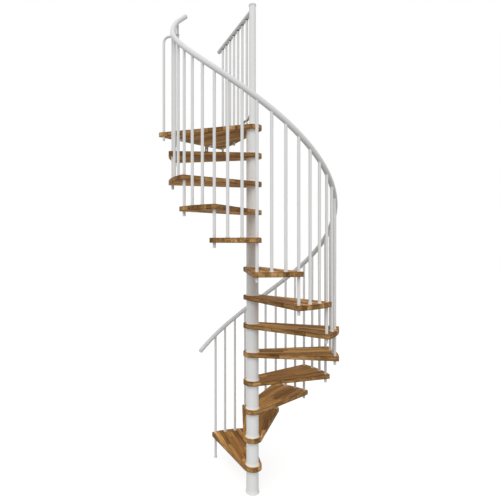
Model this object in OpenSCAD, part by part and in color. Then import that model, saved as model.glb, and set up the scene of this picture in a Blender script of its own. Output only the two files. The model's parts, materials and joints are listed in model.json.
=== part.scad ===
// Spiral staircase: oak treads threaded on a central pole, white steel balusters and a helical handrail.
// The origin is on the floor, on the pole's axis. The flight climbs clockwise, seen from above.

/* [Flight] */
// Height from one tread to the next
rise = 230; // [200:1:250]
// Turn from one tread to the next, in degrees
tread_turn = 26.25; // [22:0.25:30]
// Turn of the last tread, from its front edge to the landing, in degrees
last_turn = 24.25; // [22:0.25:30]
// Direction of the first tread's front edge, in degrees anticlockwise from +X
start_angle = 122.6; // [0:0.1:360]
// Number of treads below the landing
tread_count = 12; // [8:1:13]

/* [Treads] */
// Radius of the treads' outer edge
stair_r = 682; // [660:2:850]
// Thickness of the treads and the landing
tread_t = 34; // [25:1:50]
// Radius of the round end that is threaded on the pole
hub_r = 75; // [62:1:90]
// Wood left outside the centre of each baluster hole
side_margin = 27; // [20:1:40]
// Radius of the treads' outer corners
corner_r = 14; // [5:1:20]

/* [Landing] */
// Distance that the landing's corner beside the flight reaches beyond the treads
landing_near_reach = 149; // [120:1:250]
// Distance that the landing's far corner reaches beyond the treads
landing_far_reach = 88; // [20:1:150]
// Turn of the landing, in degrees
landing_turn = 55.5; // [45:0.5:70]

/* [Pole and sleeves] */
// Radius of the central pole
pole_r = 27.5; // [22:0.5:32]
// Wall of the central pole
pole_wall = 4; // [3:0.5:6]
// Height of the pole above the landing
pole_above_landing = 984; // [980:1:1200]
// Height of the pole's cap
pole_cap_h = 14; // [8:1:20]
// Distance that the cap's lip stands out from the pole
pole_cap_lip = 3; // [1:0.5:6]
// Outer radius of the sleeves between the treads
sleeve_r = 50; // [44:1:58]
// Wall of the sleeves
sleeve_wall = 3; // [2:0.5:5]
// Height of the flared foot of a sleeve
sleeve_foot_h = 24; // [10:1:40]
// Distance that a sleeve's foot flares out
sleeve_flare = 7; // [2:0.5:8]

/* [Base] */
// Radius of the base flange
base_r = 56; // [54:1:90]
// Thickness of the base flange's plate
base_t = 8; // [6:1:15]
// Height of the flared rim round the lowest sleeve
base_rim_h = 25; // [18:1:40]
// Thickness of the rim at its top
base_lip = 1.5; // [1:0.5:2.5]
// Height of the rim's straight edge at the floor
base_edge_h = 7; // [5:1:12]
// Radius of the rounding at the floor
base_round = 4; // [2:0.5:5]
// Number of floor bolts
floor_bolts = 4; // [3:1:4]
// Radius of the floor bolts' circle
floor_bolt_circle_r = 37; // [36:0.5:39]
// Radius of the floor bolts' holes
floor_bolt_hole_r = 5.5; // [4:0.5:6]

/* [Balusters] */
// Distance from the treads' outer edge to the balusters' centres
baluster_inset = 32; // [26:1:45]
// Radius of a baluster
baluster_r = 11; // [8:0.5:13]
// Balusters for each tread
per_tread = 3; // [2:1:4]
// Length of a baluster's end below the tread that it passes through
end_below = 28; // [15:1:70]
// Height of the cap on that end
end_cap_h = 8; // [5:1:15]
// Outer radius of a baluster's foot
foot_r = 15; // [14.5:0.5:20]
// Height of a baluster's foot
foot_h = 8; // [4:1:15]

/* [Handrail] */
// Height of the rail's axis above a tread's front corner
rail_height = 936; // [850:1:1050]
// Height that the rail gains over the last tread, besides the flight's slope
rail_gain = 23; // [0:0.5:30]
// Radius of the handrail
rail_r = 20; // [16:0.5:24]
// Length of the rail before the first baluster, measured in plan
rail_before = 169; // [50:1:250]
// Length of the rail after the last baluster, measured in plan
rail_after = 149; // [50:1:200]
// Length of the caps on the rails' ends
rail_cap_l = 7; // [4:1:12]

/* [Landing balustrade] */
// Height of the rail's axis above the landing
landing_rail_height = 947; // [850:1:960]
// Distance from the axis to the baluster nearest the pole
landing_first_r = 116; // [110:1:140]
// Distance from the landing's far corner to the last baluster
landing_last_inset = 66; // [60:1:140]
// Number of the landing's balusters
landing_balusters_n = 7; // [4:1:7]
// Every so many of them one passes through the landing
landing_through_step = 3; // [2:1:3]
// Length of the landing's rail past the last baluster
landing_rail_over = 103; // [40:1:150]

/* [Bent baluster] */
// Distance from the landing's near corner to the bent baluster's upright
bent_inset = 54; // [45:1:70]
// Distance from the bent baluster's level arm up to the handrail's axis
bent_drop = 117; // [90:1:200]
// Radius of the bend, to the tube's axis
bend_r = 47; // [30:1:60]

/* [Landing collar] */
// Radius of the collar that covers the hole in the landing
collar_r = 45; // [38:1:60]
// Height of the collar
collar_h = 12; // [8:1:20]
// Radius of the collar's rounded edge
collar_round = 7; // [3:1:8]

/* [Landing brackets] */
// Width of a bracket
bracket_w = 40; // [25:1:50]
// Thickness of a bracket
bracket_t = 5; // [3:0.5:8]
// Length of the leg under the landing
bracket_leg = 90; // [40:1:120]
// Length of the leg that hangs from the landing's outer edge
bracket_drop = 60; // [40:1:80]
// Radius of the bolt hole in the hanging leg
bracket_hole_r = 5.5; // [4:0.5:7]
// Distance along the outer edge from each corner of the landing to the nearest bracket
bracket_inset = 210; // [120:1:280]

/* [Fits] */
// Play round a tube in its hole
hole_play = 0.3; // [0.2:0.1:0.5]
// Play between a tube's shaped end and the tube that it meets
cope_play = 0.3; // [0.2:0.1:0.5]

/* [Hidden] */
$fn = 64;
past = 1;
arc_step = 3;
rail_sides = 20;
// Rings of the handrail from one baluster to the next
rail_rings = 4;
// Share of a plug's height, or of its radius if that is less, that is rounded
plug_round = 0.6;
// A flare is this part of a quarter turn, drawn out to its own height and reach
flare_start = 45;
flare_step = 9;
white = "white";
oak = "peru";

baluster_circle_r = stair_r - baluster_inset;
baluster_count = tread_count * per_tread;
// Number of the baluster at the last tread's front corner
last_front = baluster_count - per_tread;
rail_first = -rail_before * per_tread / rail_arc(tread_turn);
rail_last = baluster_count + rail_after * per_tread / rail_arc(tread_turn);
landing_top = (tread_count + 1) * rise;
landing_under = landing_top - tread_t;
landing_rail_z = landing_top + landing_rail_height;
far_angle = angle_at(baluster_count) - landing_turn;
side_lean = asin((hub_r - side_margin) / baluster_circle_r);
pole_hole_r = pole_r + hole_play;
baluster_hole_r = baluster_r + hole_play;
landing_near_r = stair_r + landing_near_reach;
landing_far_r = stair_r + landing_far_reach;
landing_last_r = landing_far_r - landing_last_inset;
landing_rail_l = landing_last_r + landing_rail_over;
bent_r = landing_near_r - bent_inset;

function two_digits(k) = k < 10 ? str("0", k) : str(k);
function tread_name(k) = str("tread_", two_digits(k));
function sleeve_name(k) = str("sleeve_", two_digits(k));

// Baluster i stands at angle_at(i). The rail's axis passes over it at rail_z(i), with slope rail_slope(i).
// On the last tread, last_part(i) goes from 0 at its front corner to 1 at the landing.
function last_part(i) = min(max(i - last_front, 0) / per_tread, 1);
function turn_of(k) = k == tread_count ? last_turn : tread_turn;
function turned(i) = i / per_tread * tread_turn - last_part(i) * (tread_turn - last_turn);
function angle_at(i) = start_angle - turned(i);
// The rail climbs evenly with the turn, and its gain over the last tread sets in and ends smoothly.
function eased(t) = t * t * (3 - 2 * t);
function eased_rate(t) = 6 * t * (1 - t);
function rail_z(i) = rise * (1 + turned(i) / tread_turn) + rail_height + rail_gain * eased(last_part(i));
// Plan length of the rail's arc over a turn
function rail_arc(turn) = baluster_circle_r * turn * PI / 180;
function rail_slope(i) =
    atan(rise / rail_arc(tread_turn) + rail_gain * eased_rate(last_part(i)) / rail_arc(last_turn));
function is_corner(i) = i % per_tread == 0;
function tread_under(i) = floor(i / per_tread) * rise - tread_t;
function tread_over(i) = (floor(i / per_tread) + 1) * rise;

function polar(r, a) = [r * cos(a), r * sin(a)];
function arc(centre, r, from, to) =
    let (n = ceil(abs(to - from) / arc_step))
    [for (j = [0 : n]) centre + polar(r, from + (to - from) * j / n)];

// The corner at b of a path a, b, c that turns left, rounded with radius r
function rounded(a, b, c, r) =
    let (u = (a - b) / norm(a - b), v = (c - b) / norm(c - b))
    let (half = acos(u * v) / 2, centre = b + (u + v) / norm(u + v) * r / sin(half))
    let (p = b + u * r / tan(half) - centre, from = atan2(p.y, p.x))
    arc(centre, r, from, from + 180 - 2 * half);

// Outline of a tread of a given turn, seen from above, with its middle line on +X:
// the outer arc, a corner, the round hub and the other corner, with straight sides tangent to the hub
function tread_outline(turn) =
    let (side = turn / 2 - side_lean)
    let (end = side + asin((hub_r - corner_r) / (stair_r - corner_r)))
    concat(
        arc([0, 0], stair_r, -end, end),
        arc(polar(stair_r - corner_r, end), corner_r, end, 90 + side),
        arc([0, 0], hub_r, 90 + side, 270 - side),
        arc(polar(stair_r - corner_r, -end), corner_r, 270 - side, 360 - end)
    );

// The landing's corners, seen from above, with its middle line on +X
landing_side = landing_turn / 2 - side_lean;
near_corner = polar(landing_near_r, landing_side + asin(hub_r / landing_near_r));
far_corner = polar(landing_far_r, -landing_side - asin(hub_r / landing_far_r));
near_tangent = polar(hub_r, 90 + landing_side);
far_tangent = polar(hub_r, 270 - landing_side);
landing_angle = far_angle + landing_turn / 2;
outer_edge = near_corner - far_corner;
outer_angle = atan2(outer_edge.y, outer_edge.x);
outer_l = norm(outer_edge);

function landing_outline() = concat(
    rounded(far_tangent, far_corner, near_corner, corner_r),
    rounded(far_corner, near_corner, near_tangent, corner_r),
    arc([0, 0], hub_r, 90 + landing_side, 270 - landing_side)
);

// A hollow curve from radius r + reach at height z up to a wall of radius r, which it meets upright
function flare(r, reach, z, h) = [
    for (a = [flare_start : flare_step : 90])
        [r + reach * (1 - sin(a)) / (1 - sin(flare_start)), z + h * (1 - cos(a) / cos(flare_start))]
];

// Moves its children out along the direction of angle a
module out(a, r, z) {
    rotate(a)
    translate([r, 0, z])
    children();
}

// Puts its children on the handrail's axis over baluster i, with +Z along the climbing rail
module on_rail(i) {
    out(angle_at(i), baluster_circle_r, rail_z(i))
    rotate([90 - rail_slope(i), 0, 0])
    children();
}

// Puts its children on the landing rail's axis, r from the pole's axis, with +Z pointing outwards
module on_landing_rail(r) {
    out(far_angle, r, landing_rail_z)
    rotate([0, 90, 0])
    children();
}

module ring(outer_r, inner_r, h) {
    difference() {
        cylinder(r = outer_r, h = h);
        translate([0, 0, -past])
        cylinder(r = inner_r, h = h + 2 * past);
    }
}

// A plug with a rounded end, standing on z = 0
module plug(r, h) {
    edge = min(r, h) * plug_round;
    rotate_extrude()
    polygon(concat([[0, 0], [r, 0]], arc([r - edge, h - edge], edge, 0, 90), [[0, h]]));
}

// A bore through a plate of the treads' thickness
module plate_bore(r) {
    translate([0, 0, -past])
    cylinder(r = r, h = tread_t + 2 * past);
}

// The tube of baluster i, from z up to the handrail's underside
module rail_baluster(i, z) {
    difference() {
        out(angle_at(i), baluster_circle_r, z)
        cylinder(r = baluster_r, h = rail_z(i) - z);
        on_rail(i)
        cylinder(r = rail_r + cope_play, h = 4 * rail_r, center = true);
    }
}

// The tube of a baluster under the landing's rail, r from the pole's axis
module landing_baluster(r, z) {
    difference() {
        out(far_angle, r, z)
        cylinder(r = baluster_r, h = landing_rail_z - z);
        on_landing_rail(r)
        cylinder(r = rail_r + cope_play, h = 4 * rail_r, center = true);
    }
}

function landing_r(j) =
    landing_first_r + (landing_last_r - landing_first_r) * j / (landing_balusters_n - 1);
function landing_through(j) = (landing_balusters_n - 1 - j) % landing_through_step == 0;

module base_flange() {
    rim_r = sleeve_r + hole_play;
    lip_r = rim_r + base_lip;
    color(white)
    difference() {
        rotate_extrude()
        polygon(concat(
            [[0, 0]],
            arc([base_r - base_round, base_round], base_round, -90, 0),
            flare(lip_r, base_r - lip_r, base_edge_h, base_rim_h - base_edge_h),
            [[rim_r, base_rim_h], [rim_r, base_t], [0, base_t]]
        ));
        for (j = [0 : floor_bolts - 1])
            out(j * 360 / floor_bolts, floor_bolt_circle_r, -past)
            cylinder(r = floor_bolt_hole_r, h = base_t + 2 * past);
    }
}

module center_pole() {
    color(white)
    translate([0, 0, base_t])
    ring(pole_r, pole_r - pole_wall, landing_top + pole_above_landing - base_t);
}

module pole_cap() {
    color(white)
    translate([0, 0, landing_top + pole_above_landing])
    plug(pole_r + pole_cap_lip, pole_cap_h);
}

// The lowest sleeve stands in the base's rim; each of the others stands on a tread with a flared foot
module lowest_sleeve() {
    translate([0, 0, base_t])
    ring(sleeve_r, sleeve_r - sleeve_wall, rise - tread_t - base_t);
}

module footed_sleeve() {
    inner_r = sleeve_r - sleeve_wall;
    h = rise - tread_t;
    rotate_extrude()
    polygon(concat(
        flare(sleeve_r, sleeve_flare, 0, sleeve_foot_h),
        [[sleeve_r, h], [inner_r, h], [inner_r, 0]]
    ));
}

// Sleeve k carries tread k, or the landing
module sleeve(k) {
    color(white)
    if (k == 1)
        lowest_sleeve();
    else
        translate([0, 0, (k - 1) * rise])
        footed_sleeve();
}

module tread(k) {
    front = (k - 1) * per_tread;
    back = k * per_tread;
    color(oak)
    difference() {
        out((angle_at(front) + angle_at(back)) / 2, 0, k * rise - tread_t)
        linear_extrude(tread_t)
        polygon(tread_outline(turn_of(k)));
        translate([0, 0, k * rise - tread_t])
        plate_bore(pole_hole_r);
        for (i = [front, back])
            out(angle_at(i), baluster_circle_r, k * rise - tread_t)
            plate_bore(baluster_hole_r);
    }
}

module landing() {
    color(oak)
    difference() {
        out(landing_angle, 0, landing_under)
        linear_extrude(tread_t)
        polygon(landing_outline());
        translate([0, 0, landing_under])
        plate_bore(pole_hole_r);
        for (r = [baluster_circle_r, bent_r])
            out(angle_at(baluster_count), r, landing_under)
            plate_bore(baluster_hole_r);
        for (j = [0 : landing_balusters_n - 1])
            if (landing_through(j))
                out(far_angle, landing_r(j), landing_under)
                plate_bore(baluster_hole_r);
    }
}

// The low cover round the pole on the landing
module landing_collar() {
    color(white)
    translate([0, 0, landing_top])
    rotate_extrude()
    polygon(concat(
        [[pole_hole_r, 0], [collar_r, 0]],
        arc([collar_r - collar_round, collar_h - collar_round], collar_round, 0, 90),
        [[pole_hole_r, collar_h]]
    ));
}

// An angle under the landing's outer edge, along it from the far corner, with a bolt hole in its hanging leg
module bracket(along) {
    rotate(landing_angle)
    translate([far_corner.x, far_corner.y, landing_under])
    rotate(outer_angle)
    translate([along, 0, 0])
    rotate(90)
    difference() {
        union() {
            translate([0, -bracket_w / 2, -bracket_t])
            cube([bracket_leg, bracket_w, bracket_t]);
            translate([0, -bracket_w / 2, -bracket_drop])
            cube([bracket_t, bracket_w, bracket_drop]);
        }
        translate([-past, 0, -(bracket_drop + bracket_t) / 2])
        rotate([0, 90, 0])
        cylinder(r = bracket_hole_r, h = bracket_t + 2 * past);
    }
}

module landing_brackets() {
    color("silver") {
        bracket(bracket_inset);
        bracket(outer_l - bracket_inset);
    }
}

// The helical tube: rings of points along the climb, each square to the rail, joined by triangles
module handrail() {
    // Places of the rings from one point of the climb to another, without the last
    function places(from, to) =
        let (n = ceil((to - from) * rail_rings))
        [for (j = [0 : n - 1]) from + (to - from) * j / n];
    function ring_point(i, a) =
        let (t = angle_at(i), side = rail_r * cos(a), up = rail_r * sin(a))
        let (r = baluster_circle_r + side, lean = up * sin(rail_slope(i)))
        [
            r * cos(t) - lean * sin(t),
            r * sin(t) + lean * cos(t),
            rail_z(i) + up * cos(rail_slope(i))
        ];
    climb = concat(
        places(rail_first, 0),
        places(0, baluster_count),
        places(baluster_count, rail_last),
        [rail_last]
    );
    rings = len(climb) - 1;
    points = [
        for (i = climb, m = [0 : rail_sides - 1])
            ring_point(i, m * 360 / rail_sides)
    ];
    function at(j, m) = j * rail_sides + m % rail_sides;
    walls = [
        for (j = [0 : rings - 1], m = [0 : rail_sides - 1])
            each [[at(j, m), at(j, m + 1), at(j + 1, m)], [at(j, m + 1), at(j + 1, m + 1), at(j + 1, m)]]
    ];
    ends = [
        [for (m = [0 : rail_sides - 1]) at(0, rail_sides - 1 - m)],
        [for (m = [0 : rail_sides - 1]) at(rings, m)]
    ];
    color(white)
    polyhedron(points, concat(walls, ends));
}

module landing_rail() {
    color(white)
    difference() {
        on_landing_rail(0)
        cylinder(r = rail_r, h = landing_rail_l);
        translate([0, 0, landing_rail_z - 2 * rail_r])
        cylinder(r = pole_r + cope_play, h = 4 * rail_r);
    }
}

module rail_end_caps() {
    color(white) {
        on_rail(rail_first)
        rotate([180, 0, 0])
        plug(rail_r, rail_cap_l);
        on_rail(rail_last)
        plug(rail_r, rail_cap_l);
        on_landing_rail(landing_rail_l)
        plug(rail_r, rail_cap_l);
    }
}

// The first baluster passes through the lowest tread's corner and stands on the floor
module start_baluster() {
    color(white)
    rail_baluster(0, 0);
}

// Each of these passes through two corners: the back of one tread and the front of the next
module corner_balusters() {
    color(white)
    for (i = [per_tread : per_tread : baluster_count])
        rail_baluster(i, tread_under(i) - end_below);
}

module tread_balusters() {
    color(white)
    for (i = [1 : baluster_count - 1])
        if (!is_corner(i))
            rail_baluster(i, tread_over(i));
}

module landing_balusters() {
    color(white)
    for (j = [0 : landing_balusters_n - 1])
        landing_baluster(landing_r(j), landing_through(j) ? landing_under - end_below : landing_top);
}

// An upright through the landing's near corner, bent level at its top and joined to the last baluster
module bent_baluster() {
    bend_z = rail_z(baluster_count) - bent_drop - bend_r;
    bottom = landing_under - end_below;
    color(white)
    difference() {
        out(angle_at(baluster_count), bent_r - bend_r, bend_z) {
            translate([bend_r, 0, bottom - bend_z])
            cylinder(r = baluster_r, h = bend_z - bottom);
            rotate([90, 0, 0])
            rotate_extrude(angle = 90)
            translate([bend_r, 0])
            circle(r = baluster_r);
            translate([0, 0, bend_r])
            rotate([0, -90, 0])
            cylinder(r = baluster_r, h = bent_r - bend_r - baluster_circle_r);
        }
        out(angle_at(baluster_count), baluster_circle_r, bend_z)
        cylinder(r = baluster_r + cope_play, h = bend_r + 2 * baluster_r);
    }
}

module baluster_feet() {
    color(white) {
        out(angle_at(0), baluster_circle_r, 0)
        ring(foot_r, baluster_hole_r, foot_h);
        for (i = [1 : baluster_count - 1])
            if (!is_corner(i))
                out(angle_at(i), baluster_circle_r, tread_over(i))
                ring(foot_r, baluster_hole_r, foot_h);
        for (j = [0 : landing_balusters_n - 1])
            if (!landing_through(j))
                out(far_angle, landing_r(j), landing_top)
                ring(foot_r, baluster_hole_r, foot_h);
    }
}

// A cap closes the lower end of each baluster that passes through
module end_cap() {
    rotate([180, 0, 0])
    plug(baluster_r, end_cap_h);
}

module baluster_end_caps() {
    color(white) {
        for (i = [per_tread : per_tread : baluster_count])
            out(angle_at(i), baluster_circle_r, tread_under(i) - end_below)
            end_cap();
        for (j = [0 : landing_balusters_n - 1])
            if (landing_through(j))
                out(far_angle, landing_r(j), landing_under - end_below)
                end_cap();
        out(angle_at(baluster_count), bent_r, landing_under - end_below)
        end_cap();
    }
}

base_flange();
center_pole();
pole_cap();
for (k = [1 : tread_count + 1]) sleeve(k);
for (k = [1 : tread_count]) tread(k);
landing();
landing_collar();
landing_brackets();
handrail();
landing_rail();
rail_end_caps();
start_baluster();
corner_balusters();
tread_balusters();
landing_balusters();
bent_baluster();
baluster_feet();
baluster_end_caps();
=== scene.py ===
"""Looks of a spiral staircase: white lacquered steel and laminated oak, in a white studio."""
import json
import math

import bmesh
import bpy
from mathutils import Matrix, Vector


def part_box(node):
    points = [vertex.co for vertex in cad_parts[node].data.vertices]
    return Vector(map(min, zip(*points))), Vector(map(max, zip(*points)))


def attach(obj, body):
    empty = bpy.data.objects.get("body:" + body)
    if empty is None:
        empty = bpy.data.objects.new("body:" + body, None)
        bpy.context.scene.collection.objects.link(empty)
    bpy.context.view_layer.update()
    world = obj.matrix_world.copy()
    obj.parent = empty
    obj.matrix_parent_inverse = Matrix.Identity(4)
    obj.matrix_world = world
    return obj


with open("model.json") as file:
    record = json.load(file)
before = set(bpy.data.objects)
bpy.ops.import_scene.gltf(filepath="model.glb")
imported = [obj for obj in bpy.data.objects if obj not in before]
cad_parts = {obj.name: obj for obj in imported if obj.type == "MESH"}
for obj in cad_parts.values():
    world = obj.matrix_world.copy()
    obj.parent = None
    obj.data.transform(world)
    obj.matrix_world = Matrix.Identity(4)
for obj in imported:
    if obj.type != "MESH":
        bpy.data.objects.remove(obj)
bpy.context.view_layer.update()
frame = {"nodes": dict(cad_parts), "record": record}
nodes = frame["nodes"]
scene = bpy.context.scene
MM = 0.001

# The photograph's camera: level, turned a little to the left of the pole, in a 500 pixel square picture
PICTURE = 500
FOCAL_PX = 430.1
CAMERA_BACK = 3.529
CAMERA_HEIGHT = 2.029
CAMERA_YAW = 0.0823
POLE_AT_PX = 252.5
HORIZON_PX = 243.8
SENSOR = 36.0

# Oak staves glued side by side along each tread, with finger joints where they meet end to end
STAVE_W = 43 * MM
STAVE_L = 420 * MM
FINGER_W = 8 * MM
FINGER_L = 9 * MM
GLUE_LINE_W = 0.5 * MM
EDGE_ROUND = 4 * MM
EDGE_SEGMENTS = 3

# A tread's direction is that of its vertices beyond this share of its reach
OUTER_SHARE = 0.8

# The staves' pattern: rows from one tread's pattern to the next, and the staves by which a row may shift
ROWS_APART = 13
ROW_SHIFT = 7.0

# The oak's grain: how quickly it changes in a metre along and across a stave, how far apart in it two staves
# can lie, its growth rings, and where its pores begin and are at their darkest
FIBRE_SCALE = (4.0, 90.0)
GROWTH_SCALE = (1.6, 20.0)
STREAK_SCALE = (2.5, 38.0)
PORE_SCALE = (22.0, 600.0)
GRAIN_SHIFT = 40.0
GROWTH_RINGS = 9.0
PORE_FROM = 0.56
PORE_FULL = 0.72

# The oak's colours: its staves from dark to light, and what fibres, rings and streaks multiply them by
STAVE_TONES = [
    (0.0, (0.252, 0.122, 0.035)),
    (0.3, (0.374, 0.188, 0.056)),
    (0.65, (0.496, 0.262, 0.083)),
    (1.0, (0.714, 0.405, 0.143)),
]
FIBRE_TONES = [(0.3, (0.66, 0.62, 0.56)), (0.7, (1.25, 1.25, 1.22))]
GROWTH_TONES = [(0.0, (0.74, 0.70, 0.64)), (0.55, (1.0, 1.0, 1.0))]
STREAK_TONES = [(0.32, (0.70, 0.66, 0.60)), (0.68, (1.28, 1.28, 1.25))]

# Darker colours laid over the oak, pores and glue lines, and painted shade at the tread's ends and along the
# rims of upright faces:
# how strongly, the power by which that painted shade falls off, and where a rim's painted shade begins and is
# full between a board's middle and its top or bottom
PORE_COLOUR = (0.07, 0.028, 0.010, 1)
PORE_SHARE = 0.4
GLUE_COLOUR = (0.05, 0.02, 0.008, 1)
GLUE_SHARE = 0.7
# Painted shade at the tread's ends, where the faces look along the tread
END_SHADE_COLOUR = (0.070, 0.035, 0.016, 1)
END_SHADE_SHARE = 0.1
END_SHADE_FALL = 3.0
# Painted shade along the top and bottom rims of upright faces
RIM_SHADE_COLOUR = (0.050, 0.024, 0.010, 1)
RIM_SHARE = 0.7
RIM_FALL = 0.4
RIM_FROM = 0.62
RIM_FULL = 0.95

# The oak's colour against the treads' tops: a darker copy on the landing's boards and a tint on upright
# faces, both painted shade, and a lighter tint on undersides as painted light; its shine
LANDING_SHADE = 0.87
UPRIGHT_SHADE_TINT = (0.82, 0.89, 1.10, 1)
UNDERSIDE_LIGHT_TINT = (1.16, 1.18, 1.18, 1)
OAK_SPECULAR = 0.06

# White paint: how much light it returns on the pole and its sleeves, and on the balusters and the rails,
# whose darker copies of the same paint are painted shade
POLE_WHITE = 0.81
TUBE_SHADED_WHITE = 0.76
RAIL_SHADED_WHITE = 0.70
RAILS = {"handrail", "landing_rail"}
TUBES = {"start_baluster", "corner_balusters", "tread_balusters", "landing_balusters", "bent_baluster"}
PAINT_TINTS = [(0.3, (0.97, 0.983, 0.977)), (0.7, (1.007, 1.02, 1.007))]
PAINT_SPECULAR = 0.12

# Colours of the caps and feet, of plated steel, and of blackened steel, which also paints shade under the
# landing's rail
PLASTIC_TONES = [(0.3, (0.74, 0.74, 0.73)), (0.7, (0.79, 0.79, 0.78))]
ZINC_GREY = 0.42
ZINC_METALLIC = 0.6
SPANGLE_SHARE = 0.25
DARK_STEEL_AND_SHADE_TONES = [(0.3, (0.035, 0.035, 0.033)), (0.7, (0.06, 0.06, 0.057))]

# Dark rings under the landing's rail, painted shade at the balusters' tops, and a dark joint at the end of
# the bent baluster, a little wider than a baluster
BALUSTER_R = 11 * MM
JOINT_R = 12.5 * MM
JOINT_EDGE = 1.0 * MM
SHADE_RING_FOOT = 6 * MM
SHADE_RING_IN_RAIL = 12 * MM
BENT_JOINT_L = 20 * MM

# Plated ring round the last corner baluster, where the bent baluster's arm ends
RING_R = 14 * MM
RING_H = 20 * MM

# Strap from the pole to the landing: radius and height above the landing at each bend, in mm, and its section
STRAP_TURN = math.radians(141.1)
STRAP_BENDS = [(26, 96), (33, 80), (47, 60), (84, 57), (98, 44), (100, 4), (122, 2)]
STRAP_W = 24 * MM
STRAP_T = 5 * MM
STRAP_EDGE = 0.8 * MM
STRAP_SCREW_R = 113 * MM
CORNER_CUTS = 2
CORNER_SHARE = 0.25

# Screw heads in the strap's foot and under each bracket, where they lie so far inwards from its bolt hole
SCREW_R = 5.5 * MM
SCREW_H = 2.6 * MM
SCREW_SOCKET_R = 2.6 * MM
SCREW_SOCKET_H = 1.8 * MM
BRACKET_SCREWS = [30 * MM, 68 * MM]

# Meshes: the gap that is closed when vertices are joined, steps in a circle, and angles between faces
# that count as flat, that get a rounded edge, that are shaded as an edge, and that bound the strap's sides
WELD_GAP = 0.01 * MM
ROUND_STEPS = 32
SCREW_STEPS = 24
BALUSTER_STEPS = 12
FLAT_ANGLE = math.radians(0.2)
ROUNDED_ANGLE = math.radians(40)
SHADED_ANGLE = math.radians(35)
STRAP_ANGLE = math.radians(60)

# Light: level of the world, direction, spread and power of the key, and the floor's bounce and its shade
WORLD_LEVEL = 0.72
KEY_FROM = (-0.1, -0.85, 0.85)
KEY_SPREAD = math.radians(50)
KEY_POWER = 1.35
FLOOR_SIZE = 60.0
FLOOR_BOUNCE = 0.42
FLOOR_SHADE = 0.25


def make_camera():
    """The photograph's view, with the camera's axis shifted to its place in the picture"""
    data = bpy.data.cameras.new("camera")
    data.sensor_width = SENSOR
    data.lens = FOCAL_PX / PICTURE * SENSOR
    centre_px = POLE_AT_PX - FOCAL_PX * math.tan(CAMERA_YAW)
    data.shift_x = (PICTURE / 2 - centre_px) / PICTURE
    data.shift_y = (HORIZON_PX - PICTURE / 2) / PICTURE
    camera = bpy.data.objects.new("camera", data)
    scene.collection.objects.link(camera)
    camera.location = (0, -CAMERA_BACK, CAMERA_HEIGHT)
    camera.rotation_euler = (math.pi / 2, 0, CAMERA_YAW)
    scene.camera = camera


def grey(level):
    return (level, level, level, 1)


def scaled(stops, factor):
    """Stops of a colour ramp with each colour multiplied by a factor"""
    return [(at, [factor * channel for channel in colour]) for at, colour in stops]


class Nodes:
    """A node tree under construction. What a node is given is a plain value or another node's output."""

    # Sockets that the Mix node has for colours
    MIX_SHARE, MIX_FIRST, MIX_SECOND, MIXED_COLOUR = 0, 6, 7, 2

    def __init__(self, tree):
        self.tree = tree

    def put(self, node, socket, value):
        if isinstance(value, bpy.types.NodeSocket):
            self.tree.links.new(value, node.inputs[socket])
        else:
            node.inputs[socket].default_value = value

    def node(self, kind, inputs, **settings):
        node = self.tree.nodes.new(kind)
        for key, value in settings.items():
            setattr(node, key, value)
        for socket, value in inputs.items():
            self.put(node, socket, value)
        return node

    def add(self, kind, inputs, output=0, **settings):
        """Adds a node and returns one of its outputs"""
        return self.node(kind, inputs, **settings).outputs[output]

    def math(self, operation, *values):
        return self.add("ShaderNodeMath", dict(enumerate(values)), operation=operation)

    def position(self):
        return self.add("ShaderNodeTexCoord", {}, output="Object")

    def vector(self, x, y, z):
        return self.add("ShaderNodeCombineXYZ", {"X": x, "Y": y, "Z": z})

    def noise(self, where, scale=1.0, detail=2.0, roughness=0.5):
        inputs = {"Vector": where, "Scale": scale, "Detail": detail, "Roughness": roughness}
        return self.add("ShaderNodeTexNoise", inputs)

    def spread(self, value, low, high, from_low=0.0, from_high=1.0):
        inputs = {"Value": value, "From Min": from_low, "From Max": from_high, "To Min": low, "To Max": high}
        return self.add("ShaderNodeMapRange", inputs)

    def blend(self, share, first, second, mode="MIX"):
        inputs = {self.MIX_SHARE: share, self.MIX_FIRST: first, self.MIX_SECOND: second}
        settings = {"data_type": "RGBA", "blend_type": mode}
        return self.add("ShaderNodeMix", inputs, output=self.MIXED_COLOUR, **settings)

    def ramp(self, value, stops):
        node = self.node("ShaderNodeValToRGB", {"Fac": value})
        elements = node.color_ramp.elements
        while len(elements) < len(stops):
            elements.new(0.5)
        for element, (place, colour) in zip(elements, stops):
            element.position = place
            element.color = (*colour, 1)
        return node.outputs["Color"]

    def seen(self):
        """1 for rays that show a surface, directly or in gloss or glass, and 0 for those that only light"""
        rays = self.node("ShaderNodeLightPath", {}).outputs
        camera_or_glossy = self.math("MAXIMUM", rays["Is Camera Ray"], rays["Is Glossy Ray"])
        return self.math("MAXIMUM", camera_or_glossy, rays["Is Transmission Ray"])


class Shader(Nodes):
    """The nodes of a new material"""

    def __init__(self, name):
        self.material = bpy.data.materials.new(name)
        self.material.use_nodes = True
        super().__init__(self.material.node_tree)
        self.surface = self.tree.nodes["Principled BSDF"]

    def finish(self, colour, roughness, height, bump_distance, bump_strength):
        self.put(self.surface, "Base Color", colour)
        self.put(self.surface, "Roughness", roughness)
        inputs = {"Height": height, "Distance": bump_distance, "Strength": bump_strength}
        self.put(self.surface, "Normal", self.add("ShaderNodeBump", inputs))
        return self.material


def lacquer(name, white):
    """White paint on steel: a faint orange peel, a little uneven in tone and gloss"""
    shader = Shader(name)
    place = shader.position()
    tone = shader.ramp(shader.noise(place, scale=3.0, detail=3.0), scaled(PAINT_TINTS, white))
    gloss = shader.spread(shader.noise(place, scale=18.0, detail=4.0), low=0.42, high=0.56)
    peel = shader.noise(place, scale=700.0)
    shader.put(shader.surface, "Specular IOR Level", PAINT_SPECULAR)
    return shader.finish(tone, gloss, peel, bump_distance=0.05 * MM, bump_strength=0.25)


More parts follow.
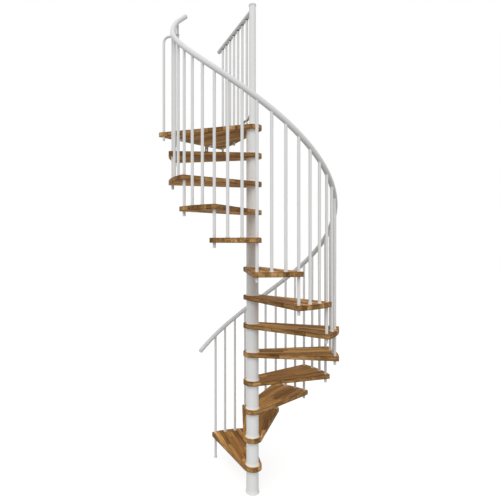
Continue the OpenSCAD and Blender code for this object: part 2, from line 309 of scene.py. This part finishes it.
def moulded_plastic():
    """White caps and feet, with a fine moulded grain"""
    shader = Shader("white_plastic")
    place = shader.position()
    tone = shader.ramp(shader.noise(place, scale=40.0, detail=3.0), PLASTIC_TONES)
    gloss = shader.spread(shader.noise(place, scale=60.0), low=0.45, high=0.6)
    texture = shader.noise(place, scale=1800.0)
    return shader.finish(tone, gloss, texture, bump_distance=0.06 * MM, bump_strength=0.4)


def zinc():
    """Zinc-plated steel of the landing's brackets and strap and of the ring, with its spangle"""
    shader = Shader("zinc")
    place = shader.position()
    spangle = shader.add("ShaderNodeTexVoronoi", {"Vector": place, "Scale": 160.0}, output="Color")
    tone = shader.blend(SPANGLE_SHARE, grey(ZINC_GREY), spangle, "SOFT_LIGHT")
    gloss = shader.spread(shader.noise(place, scale=90.0, detail=3.0), low=0.35, high=0.55)
    texture = shader.noise(place, scale=500.0)
    shader.put(shader.surface, "Metallic", ZINC_METALLIC)
    return shader.finish(tone, gloss, texture, bump_distance=0.05 * MM, bump_strength=0.3)


def dark_steel_and_shade():
    """Blackened steel of the small fittings, also the colour of the painted shade under the landing's rail"""
    shader = Shader("dark_steel_and_shade")
    place = shader.position()
    tone = shader.ramp(shader.noise(place, scale=120.0, detail=3.0), DARK_STEEL_AND_SHADE_TONES)
    gloss = shader.spread(shader.noise(place, scale=200.0), low=0.4, high=0.6)
    texture = shader.noise(place, scale=900.0)
    return shader.finish(tone, gloss, texture, bump_distance=0.05 * MM, bump_strength=0.4)


def oak_staves(shader, x, y, seed):
    """Rows of staves: the outputs of a chance that each stave has for itself, and where the glue lines are"""
    across = shader.math("ADD", shader.math("DIVIDE", y, STAVE_W), 0.5 + seed * ROWS_APART)
    row = shader.math("FLOOR", across)
    row_chance = shader.add("ShaderNodeTexWhiteNoise", {"W": row}, noise_dimensions="1D")
    row_start = shader.math("MULTIPLY", row_chance, ROW_SHIFT)
    finger = shader.math("PINGPONG", shader.math("DIVIDE", y, FINGER_W / 2), 1.0)
    start = shader.math("MULTIPLY_ADD", finger, FINGER_L / STAVE_L, row_start)
    lengthways = shader.math("ADD", shader.math("DIVIDE", x, STAVE_L), start)
    stave = shader.vector(row, shader.math("FLOOR", lengthways), 0.0)
    chance = shader.node("ShaderNodeTexWhiteNoise", {"Vector": stave}, noise_dimensions="2D")

    def near_border(count, size):
        inside = shader.math("MULTIPLY", shader.math("PINGPONG", count, 0.5), size)
        return shader.spread(inside, 1.0, 0.0, from_low=GLUE_LINE_W / 2, from_high=GLUE_LINE_W)

    glue = shader.math("MAXIMUM", near_border(across, STAVE_W), near_border(lengthways, STAVE_L))
    return chance.outputs, glue


def oak_grain(shader, x, y, z, chance, strength):
    """Colour of the staves with fibres, streaks, rings and pores, then the fibres and the pores alone"""
    picked = shader.add("ShaderNodeSeparateColor", {"Color": chance["Color"]}, output="Green")
    far = shader.math("MULTIPLY", picked, GRAIN_SHIFT)

    def stretched(scale):
        lengthways, crossways = scale
        return shader.vector(
            shader.math("MULTIPLY_ADD", x, lengthways, far),
            shader.math("MULTIPLY_ADD", y, crossways, far),
            shader.math("MULTIPLY", z, crossways),
        )

    fibre = shader.noise(stretched(FIBRE_SCALE), detail=5.0, roughness=0.6)
    streak = shader.noise(stretched(STREAK_SCALE))
    contour = shader.noise(stretched(GROWTH_SCALE), detail=1.5)
    ring = shader.math("PINGPONG", shader.math("MULTIPLY", contour, GROWTH_RINGS), 1.0)
    pore = shader.spread(shader.noise(stretched(PORE_SCALE)), 0.0, 1.0, PORE_FROM, PORE_FULL)

    # strength below 1 darkens the landing's copy of the oak as painted shade
    colour = shader.ramp(chance["Value"], scaled(STAVE_TONES, strength))
    for value, tones in (fibre, FIBRE_TONES), (streak, STREAK_TONES), (ring, GROWTH_TONES):
        colour = shader.blend(1.0, colour, shader.ramp(value, tones), "MULTIPLY")
    colour = shader.blend(shader.math("MULTIPLY", pore, PORE_SHARE), colour, PORE_COLOUR)
    return colour, fibre, pore


def oak_faces(shader, colour, z, turn, low, high):
    """Paints shade on upright faces, light on undersides, and shade at the tread's ends and along the rims of
    upright faces
    """
    facing = shader.add("ShaderNodeNewGeometry", {}, output="True Normal")
    upwards = shader.add("ShaderNodeSeparateXYZ", {0: facing}, output="Z")
    upright = shader.math("SUBTRACT", 1.0, shader.math("ABSOLUTE", upwards))
    # Painted shade: upright faces darker and less orange than the tops
    colour = shader.blend(upright, colour, UPRIGHT_SHADE_TINT, "MULTIPLY")
    # Painted light: undersides lighter, as if lit from below
    downwards = shader.math("MAXIMUM", shader.math("MULTIPLY", upwards, -1.0), 0.0)
    colour = shader.blend(downwards, colour, UNDERSIDE_LIGHT_TINT, "MULTIPLY")

    # Painted shade on faces that look along the tread, at its ends
    directions = {0: facing, 1: (math.cos(turn), math.sin(turn), 0)}
    end_on = shader.add("ShaderNodeVectorMath", directions, output="Value", operation="DOT_PRODUCT")
    end_shade = shader.math("POWER", shader.math("ABSOLUTE", end_on), END_SHADE_FALL)
    colour = shader.blend(shader.math("MULTIPLY", end_shade, END_SHADE_SHARE), colour, END_SHADE_COLOUR)

    # Painted shade in a band along the top and bottom of upright faces
    from_middle = shader.math("ABSOLUTE", shader.math("SUBTRACT", z, (low + high) / 2))
    level = shader.math("DIVIDE", from_middle, (high - low) / 2)
    near_rim = shader.spread(level, 0.0, 1.0, RIM_FROM, RIM_FULL)
    rim_shade = shader.math("MULTIPLY", near_rim, shader.math("POWER", upright, RIM_FALL))
    return shader.blend(shader.math("MULTIPLY", rim_shade, RIM_SHARE), colour, RIM_SHADE_COLOUR)


def oak(name, turn, low, high, seed, strength):
    """Oak of a tread between two heights, with its staves glued along the direction turn, darkened by
    strength as painted shade, and with painted light and shade by facing
    """
    shader = Shader(name)
    inputs = {"Vector": shader.position(), "Angle": -turn}
    place = shader.add("ShaderNodeVectorRotate", inputs, rotation_type="Z_AXIS")
    x, y, z = shader.node("ShaderNodeSeparateXYZ", {0: place}).outputs
    chance, glue = oak_staves(shader, x, y, seed)
    colour, fibre, pore = oak_grain(shader, x, y, z, chance, strength)
    colour = shader.blend(shader.math("MULTIPLY", glue, GLUE_SHARE), colour, GLUE_COLOUR)
    colour = oak_faces(shader, colour, z, turn, low, high)
    gloss = shader.spread(fibre, low=0.52, high=0.70)
    hollow = shader.math("ADD", pore, glue)
    height = shader.math("SUBTRACT", shader.math("MULTIPLY", fibre, 0.5), hollow)
    shader.put(shader.surface, "Specular IOR Level", OAK_SPECULAR)
    return shader.finish(colour, gloss, height, bump_distance=0.25 * MM, bump_strength=0.5)


def round_edges(obj, width):
    """Rounds the sharp edges of a flat-faced node with modifiers, after joining its coplanar triangles"""
    flat = obj.modifiers.new("flat_faces", "DECIMATE")
    flat.decimate_type = "DISSOLVE"
    flat.angle_limit = FLAT_ANGLE
    bevel = obj.modifiers.new("rounded_edges", "BEVEL")
    bevel.width = width
    bevel.segments = EDGE_SEGMENTS
    bevel.limit_method = "ANGLE"
    bevel.angle_limit = ROUNDED_ANGLE


def smooth_facets(obj):
    """Joins a faceted node's triangles and shades them as one round surface, with modifiers"""
    joined = obj.modifiers.new("joined_facets", "WELD")
    joined.merge_threshold = WELD_GAP
    shaded = obj.modifiers.new("round_shading", "WEIGHTED_NORMAL")
    shaded.keep_sharp = False


def middle_angle(obj):
    """Direction, about +Z, in which a tread reaches out from the pole"""
    places = [v.co.xy for v in obj.data.vertices]
    reach = max(place.length for place in places)
    total = sum((place for place in places if place.length > OUTER_SHARE * reach), Vector((0, 0)))
    return math.atan2(total.y, total.x)


def dress_nodes(plated):
    """Gives each CAD node its material, the oak its rounded edges and the handrail its smooth shading"""
    slots = {
        "white_metal": lacquer("pole_lacquer", POLE_WHITE),
        "white_plastic": moulded_plastic(),
        "steel": plated,
    }
    # Darker copies of the pole's paint on the balusters and rails, as painted shade
    shaded_tube_paint = lacquer("tube_lacquer_shaded", TUBE_SHADED_WHITE)
    shaded_rail_paint = lacquer("rail_lacquer_shaded", RAIL_SHADED_WHITE)
    slot_of = {part["node"]: part["material_slot"] for part in frame["record"]["subparts"]}
    for seed, (name, obj) in enumerate(sorted(nodes.items())):
        obj.data.materials.clear()
        if slot_of[name] == "oak":
            low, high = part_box(name)
            # The landing's oak is a darker copy, painted shade
            tone = LANDING_SHADE if name == "landing" else 1.0
            obj.data.materials.append(oak("oak_" + name, middle_angle(obj), low[2], high[2], seed, tone))
            round_edges(obj, EDGE_ROUND)
        elif name in RAILS:
            obj.data.materials.append(shaded_rail_paint)
        elif name in TUBES:
            obj.data.materials.append(shaded_tube_paint)
        else:
            obj.data.materials.append(slots[slot_of[name]])
    smooth_facets(nodes["handrail"])


def solids_of(name):
    """Vertices of each separate solid of a node, in a copy with its doubled vertices joined"""
    mesh = bmesh.new()
    mesh.from_mesh(nodes[name].data)
    bmesh.ops.remove_doubles(mesh, verts=mesh.verts, dist=WELD_GAP)
    taken = set()
    solids = []
    for first in mesh.verts:
        if first in taken:
            continue
        taken.add(first)
        found = [first]
        for vert in found:
            beside = [edge.other_vert(vert) for edge in vert.link_edges]
            fresh = [other for other in beside if other not in taken]
            taken.update(fresh)
            found.extend(fresh)
        solids.append([vert.co.copy() for vert in found])
    mesh.free()
    return solids


def middle_of(points):
    """Middle of the box round some points, and the heights of its bottom and top"""
    sides = [(min(p[i] for p in points), max(p[i] for p in points)) for i in range(3)]
    return Vector([sum(side) / 2 for side in sides]), sides[2]


def underside(name, x, y):
    """Height at which a plumb line from the floor first meets a node"""
    found, place, _, _ = nodes[name].ray_cast((x, y, 0), (0, 0, 1))
    return place.z if found else None


def add_piece(name, mesh, material):
    """Makes a new piece of the stair from a mesh"""
    bmesh.ops.recalc_face_normals(mesh, faces=mesh.faces)
    data = bpy.data.meshes.new(name)
    mesh.to_mesh(data)
    mesh.free()
    data.materials.append(material)
    data.shade_smooth()
    data.set_sharp_from_angle(angle=SHADED_ANGLE)
    piece = bpy.data.objects.new(name, data)
    scene.collection.objects.link(piece)
    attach(piece, "root")


def skin(mesh, rings):
    """Joins rings of vertices, one after another, into a closed body"""
    count = len(rings[0])
    for low, high in zip(rings, rings[1:]):
        for i in range(count):
            j = (i + 1) % count
            mesh.faces.new((low[i], low[j], high[j], high[i]))
    mesh.faces.new(rings[0])
    mesh.faces.new(rings[-1])


def circle(radius, steps):
    turns = [2 * math.pi * i / steps for i in range(steps)]
    return [Vector((radius * math.cos(turn), radius * math.sin(turn))) for turn in turns]


def revolve(mesh, profile, place, steps=ROUND_STEPS):
    """Turns a profile of (radius, height) about +Z of a placement and closes both ends"""
    rings = []
    for radius, height in profile:
        points = [Vector((p.x, p.y, height)) for p in circle(radius, steps)]
        rings.append([mesh.verts.new(place @ p) for p in points])
    skin(mesh, rings)


def along(start, direction):
    """Placement at a point, with its +Z in a direction"""
    return Matrix.Translation(start) @ direction.to_track_quat("Z", "Y").to_matrix().to_4x4()


def joint_profile(length):
    """A joint's side, from its rounded outer end to the end that is hidden in the other tube"""
    return [(JOINT_R - JOINT_EDGE, 0), (JOINT_R, JOINT_EDGE), (JOINT_R, length)]


def bent_end():
    """Where the bent baluster's arm meets the last corner baluster's axis, and the arm's direction"""
    bent = solids_of("bent_baluster")[0]
    _, (bottom, top) = middle_of(bent)
    upright, _ = middle_of([p for p in bent if p.z < bottom + BALUSTER_R])
    stands = [middle_of(solid)[0] for solid in solids_of("corner_balusters")]
    last = min(stands, key=lambda stand: (stand.xy - upright.xy).length)
    inwards = (last.xy - upright.xy).normalized().to_3d()
    return Vector((last.x, last.y, top - BALUSTER_R)), inwards


def make_shade_rings_and_joint(material):
    """Dark rings under the landing's rail, painted shade on each baluster's top, and a dark joint where the
    bent baluster ends
    """
    mesh = bmesh.new()
    # Painted shade: a dark ring where each landing baluster meets the rail
    for solid in solids_of("landing_balusters"):
        middle, _ = middle_of(solid)
        beside = [middle.xy + p for p in circle(BALUSTER_R, BALUSTER_STEPS)]
        foot = min(underside("landing_rail", p.x, p.y) for p in beside) - SHADE_RING_FOOT
        head = underside("landing_rail", middle.x, middle.y) + SHADE_RING_IN_RAIL
        revolve(mesh, joint_profile(head - foot), Matrix.Translation((middle.x, middle.y, foot)))

    meeting, inwards = bent_end()
    start = meeting - (BALUSTER_R + BENT_JOINT_L) * inwards
    revolve(mesh, joint_profile(BENT_JOINT_L + BALUSTER_R / 2), along(start, inwards))
    add_piece("shade_rings_and_joint", mesh, material)


def make_bent_ring(material):
    """The ring that holds the bent baluster's arm to the last corner baluster"""
    meeting, _ = bent_end()
    edge_r = RING_R - JOINT_EDGE
    profile = [(edge_r, 0), (RING_R, JOINT_EDGE), (RING_R, RING_H - JOINT_EDGE), (edge_r, RING_H)]
    mesh = bmesh.new()
    revolve(mesh, profile, Matrix.Translation(meeting - Vector((0, 0, RING_H / 2))))
    add_piece("bent_ring", mesh, material)


def softened(path):
    """A path with its corners cut more than once, so that bends look round"""
    for _ in range(CORNER_CUTS):
        cut = [path[0]]
        for a, b in zip(path, path[1:]):
            cut += [a.lerp(b, CORNER_SHARE), a.lerp(b, 1 - CORNER_SHARE)]
        path = cut + [path[-1]]
    return path


def bent_bar(mesh, path, turn, width, thickness):
    """A flat bar along a path of (radius, height), upright in the direction turn from the pole's axis"""
    place = Matrix.Rotation(turn, 4, "Z")
    rings = []
    for i, point in enumerate(path):
        step = (path[min(i + 1, len(path) - 1)] - path[max(i - 1, 0)]).normalized()
        aside = Vector((-step.y, step.x)) * thickness / 2
        corners = [
            (point + aside, width / 2),
            (point - aside, width / 2),
            (point - aside, -width / 2),
            (point + aside, -width / 2),
        ]
        rings.append([mesh.verts.new(place @ Vector((p.x, y, p.y))) for p, y in corners])
    skin(mesh, rings)
    sharp = [edge for edge in mesh.edges if edge.calc_face_angle() > STRAP_ANGLE]
    bmesh.ops.bevel(mesh, geom=sharp, offset=STRAP_EDGE, segments=2, affect="EDGES", profile=0.5)


def screw_profile():
    """A round head with a socket, from its seat to the socket's floor"""
    edge = SCREW_H / 3
    socket_floor = SCREW_H - SCREW_SOCKET_H
    return [
        (SCREW_R, 0),
        (SCREW_R, SCREW_H - edge),
        (SCREW_R - edge / 3, SCREW_H - edge / 3),
        (SCREW_R - edge, SCREW_H),
        (SCREW_SOCKET_R, SCREW_H),
        (SCREW_SOCKET_R, socket_floor),
        (SCREW_SOCKET_R / 4, socket_floor),
    ]


def make_strap(material):
    """The strap that holds the landing to the pole, and the screw in its foot"""
    _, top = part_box("landing")
    mesh = bmesh.new()
    path = softened([Vector((r * MM, top[2] + h * MM)) for r, h in STRAP_BENDS])
    bent_bar(mesh, path, STRAP_TURN, STRAP_W, STRAP_T)
    seat = Vector((STRAP_SCREW_R, 0, path[-1].y + STRAP_T / 2))
    revolve(mesh, screw_profile(), Matrix.Rotation(STRAP_TURN, 4, "Z") @ Matrix.Translation(seat))
    add_piece("landing_strap", mesh, material)


def make_bracket_screws(material):
    """Two screw heads under each of the landing's brackets"""
    mesh = bmesh.new()
    for mount in frame["record"]["mounts"]:
        if not mount["name"].startswith("bracket_hole"):
            continue
        hole, outwards = Vector(mount["pos_m"]), Vector(mount["axis"])
        for inset in BRACKET_SCREWS:
            spot = hole - inset * outwards
            spot.z = underside("landing_brackets", spot.x, spot.y)
            revolve(mesh, screw_profile(), along(spot, Vector((0, 0, -1))), steps=SCREW_STEPS)
    add_piece("bracket_screws", mesh, material)


def make_floor():
    """White with the stair's shadow where it is looked at, and duller for the light that it returns"""
    shader = Shader("floor")
    matt = shader.add("ShaderNodeBsdfDiffuse", {"Color": grey(FLOOR_BOUNCE)})
    shade = shader.add("ShaderNodeBsdfDiffuse", {"Color": grey(FLOOR_SHADE)})
    glow_level = 1 - FLOOR_SHADE * WORLD_LEVEL
    glow = shader.add("ShaderNodeEmission", {"Color": grey(1.0), "Strength": glow_level})
    white = shader.add("ShaderNodeAddShader", {0: shade, 1: glow})
    mixed = shader.add("ShaderNodeMixShader", {0: shader.seen(), 1: matt, 2: white})
    shader.tree.nodes.remove(shader.surface)
    shader.put(shader.tree.nodes["Material Output"], "Surface", mixed)
    mesh = bpy.data.meshes.new("floor")
    half = FLOOR_SIZE / 2
    corners = [(-half, -half, 0), (half, -half, 0), (half, half, 0), (-half, half, 0)]
    mesh.from_pydata(corners, [], [(0, 1, 2, 3)])
    mesh.materials.append(shader.material)
    floor = bpy.data.objects.new("floor", mesh)
    scene.collection.objects.link(floor)


def make_world():
    """White where it is looked at, and a plain even level where it lights the stair"""
    world = bpy.data.worlds.new("world")
    scene.world = world
    world.use_nodes = True
    sky = Nodes(world.node_tree)
    background = sky.tree.nodes["Background"]
    sky.put(background, "Color", grey(1.0))
    sky.put(background, "Strength", sky.spread(sky.seen(), WORLD_LEVEL, 1.0))


def make_key():
    """A broad, even light from the front and above, at the same level along the whole height"""
    data = bpy.data.lights.new("key", "SUN")
    data.energy = KEY_POWER
    data.angle = KEY_SPREAD
    lamp = bpy.data.objects.new("key", data)
    scene.collection.objects.link(lamp)
    lamp.rotation_euler = Vector(KEY_FROM).to_track_quat("Z", "Y").to_euler()


make_camera()
plated_steel = zinc()
blackened_steel_and_shade = dark_steel_and_shade()
dress_nodes(plated_steel)
make_shade_rings_and_joint(blackened_steel_and_shade)
make_bent_ring(plated_steel)
make_strap(plated_steel)
make_bracket_screws(blackened_steel_and_shade)
make_floor()
make_world()
make_key()
scene.view_settings.view_transform = "Standard"
